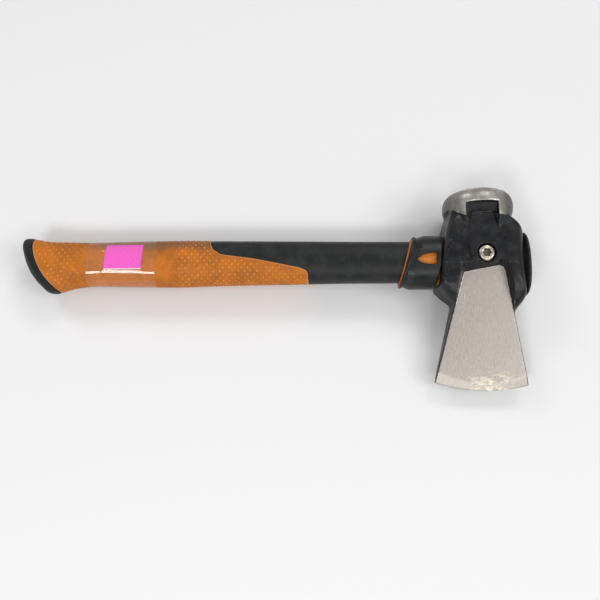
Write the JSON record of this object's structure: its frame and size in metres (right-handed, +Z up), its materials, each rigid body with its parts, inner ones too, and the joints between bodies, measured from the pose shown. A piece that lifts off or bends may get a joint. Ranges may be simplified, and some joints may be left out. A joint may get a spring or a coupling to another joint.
{
  "type": "splitting hatchet with hammer poll",
  "caption": "Short one-hand splitting hatchet with a round hammer poll, a screw-fixed head, a black and orange moulded handle and a taped blank label, lying on its side.",
  "frame": {"origin": "centre of the footprint on the table, at the tool's lowest point, with the tool lying on its side", "axes": "+X along the handle from the butt to the head, +Y from the cutting edge to the hammer face, +Z up"},
  "size_m": [0.358, 0.1408, 0.0496],
  "materials": {
    "black_paint": "semi-gloss black over forged steel, with bare ground steel on the poll and the blade",
    "fastener_steel": "bright, lightly tarnished",
    "fibreglass": "pultruded glass fibre and resin, satin",
    "orange_sleeve": "soft elastomer, satin",
    "shell_plastic": "moulded black, fine grain",
    "grip_rubber": "dirty orange elastomer with small raised dots",
    "butt_rubber": "black elastomer, satin",
    "collar_plastic": "hard black moulding, slight sheen",
    "cap_rubber": "black, worn brownish at the edge",
    "label_paper": "fluorescent pink label, blank",
    "tape_film": "clear glossy packing tape"
  },
  "bodies": {
    "root": {"head_forging": "black_paint", "head_screw": "fastener_steel", "spring_washer": "fastener_steel", "barrel_nut": "fastener_steel", "core_bush": "fastener_steel", "handle_core": "fibreglass", "isolation_sleeve": "orange_sleeve", "shaft_shell": "shell_plastic", "grip_sleeve": "grip_rubber", "butt_cap": "butt_rubber", "collar": "collar_plastic", "top_cap": "cap_rubber", "label": "label_paper", "clear_tape": "tape_film"}
  },
  "joints": []
}
